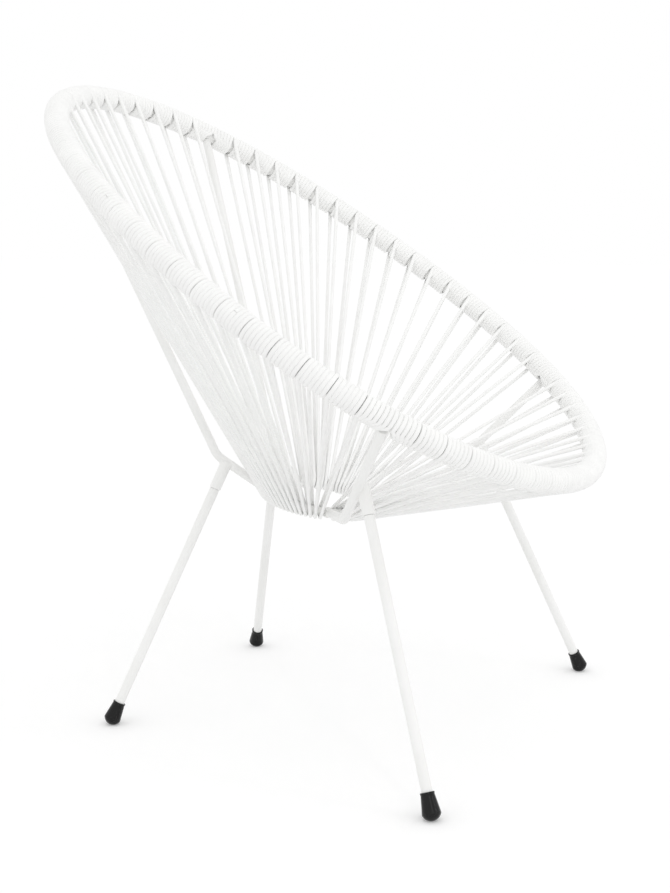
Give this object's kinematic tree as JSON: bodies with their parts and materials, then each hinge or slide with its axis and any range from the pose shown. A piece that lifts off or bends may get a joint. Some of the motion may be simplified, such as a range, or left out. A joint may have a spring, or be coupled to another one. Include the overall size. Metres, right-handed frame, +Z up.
{
  "type": "acapulco chair",
  "caption": "Patio lounge chair with a leaning egg-shaped hoop, a bowl seat of radiating paired cords, bent rod bars and splayed screw-in legs with rubber feet.",
  "frame": {"origin": "on the floor, below the middle of the chair's overall box", "axes": "+Z up, +Y to the chair's back, +X to the sitter's left; the front faces -Y"},
  "size_m": [0.7356, 0.7578, 0.8747],
  "materials": {
    "frame_paint": "satin white powder coat on steel",
    "cord_pvc": "smooth white PVC cord",
    "stud_zinc": "zinc-plated steel",
    "foot_rubber": "smooth black rubber"
  },
  "bodies": {
    "root": {"hoop_tube": "frame_paint", "centre_ring": "frame_paint", "rear_left_bar": "frame_paint", "rear_right_bar": "frame_paint", "front_left_bar": "frame_paint", "front_right_bar": "frame_paint", "cord_back_right": "cord_pvc", "cord_back_left": "cord_pvc", "cord_left_rear": "cord_pvc", "cord_left_middle": "cord_pvc", "cord_left_fore": "cord_pvc", "cord_front_left": "cord_pvc", "cord_front_mid_left": "cord_pvc", "cord_front_mid_right": "cord_pvc", "cord_front_right": "cord_pvc", "cord_right_fore": "cord_pvc", "cord_right_middle": "cord_pvc", "cord_right_rear": "cord_pvc", "rear_left_socket": "frame_paint", "rear_left_stud": "stud_zinc", "rear_left_leg": "frame_paint", "rear_left_foot": "foot_rubber", "rear_right_socket": "frame_paint", "rear_right_stud": "stud_zinc", "rear_right_leg": "frame_paint", "rear_right_foot": "foot_rubber", "front_left_socket": "frame_paint", "front_left_stud": "stud_zinc", "front_left_leg": "frame_paint", "front_left_foot": "foot_rubber", "front_right_socket": "frame_paint", "front_right_stud": "stud_zinc", "front_right_leg": "frame_paint", "front_right_foot": "foot_rubber"}
  },
  "joints": []
}
